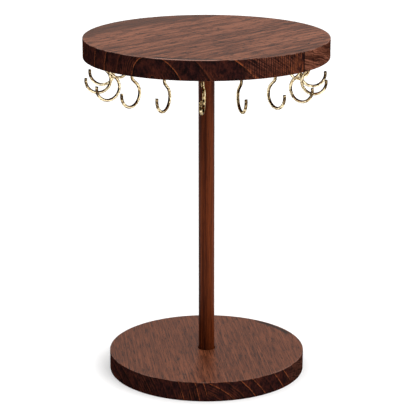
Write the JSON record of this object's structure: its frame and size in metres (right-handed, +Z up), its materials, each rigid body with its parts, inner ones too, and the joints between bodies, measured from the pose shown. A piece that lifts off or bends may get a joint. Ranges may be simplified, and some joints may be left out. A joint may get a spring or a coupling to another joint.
{
  "type": "mug tree",
  "caption": "Turning mug tree: a round wooden board with a ring of brass screw hooks under it, on a thin post that turns in a smaller round wooden base.",
  "frame": {"origin": "centre of the base's underside", "axes": "+Z up along the post, the side seen in the picture faces -Y"},
  "size_m": [0.245, 0.245, 0.347],
  "materials": {
    "board_wood": "clear satin varnish",
    "post_wood": "clear satin varnish",
    "brass": "polished plate",
    "zinc": "zinc plated",
    "nylon": "matte"
  },
  "bodies": {
    "base": {"base_disc": "board_wood", "thrust_washer": "nylon", "pivot_washer": "zinc"},
    "carousel": {"post": "post_wood", "pivot_screw": "zinc", "hanger_screw": "zinc", "top_disc": "board_wood", "hook_01": "brass", "hook_02": "brass", "hook_03": "brass", "hook_04": "brass", "hook_05": "brass", "hook_06": "brass", "hook_07": "brass", "hook_08": "brass", "hook_09": "brass", "hook_10": "brass", "hook_11": "brass", "hook_12": "brass", "hook_13": "brass", "hook_14": "brass", "hook_15": "brass", "hook_16": "brass", "hook_17": "brass", "hook_18": "brass"}
  },
  "joints": [
    {"name": "carousel_spin", "type": "hinge", "parent": "base", "child": "carousel", "pos_m": [0, 0, 0], "axis": [0, 0, 1], "continuous": true}
  ]
}
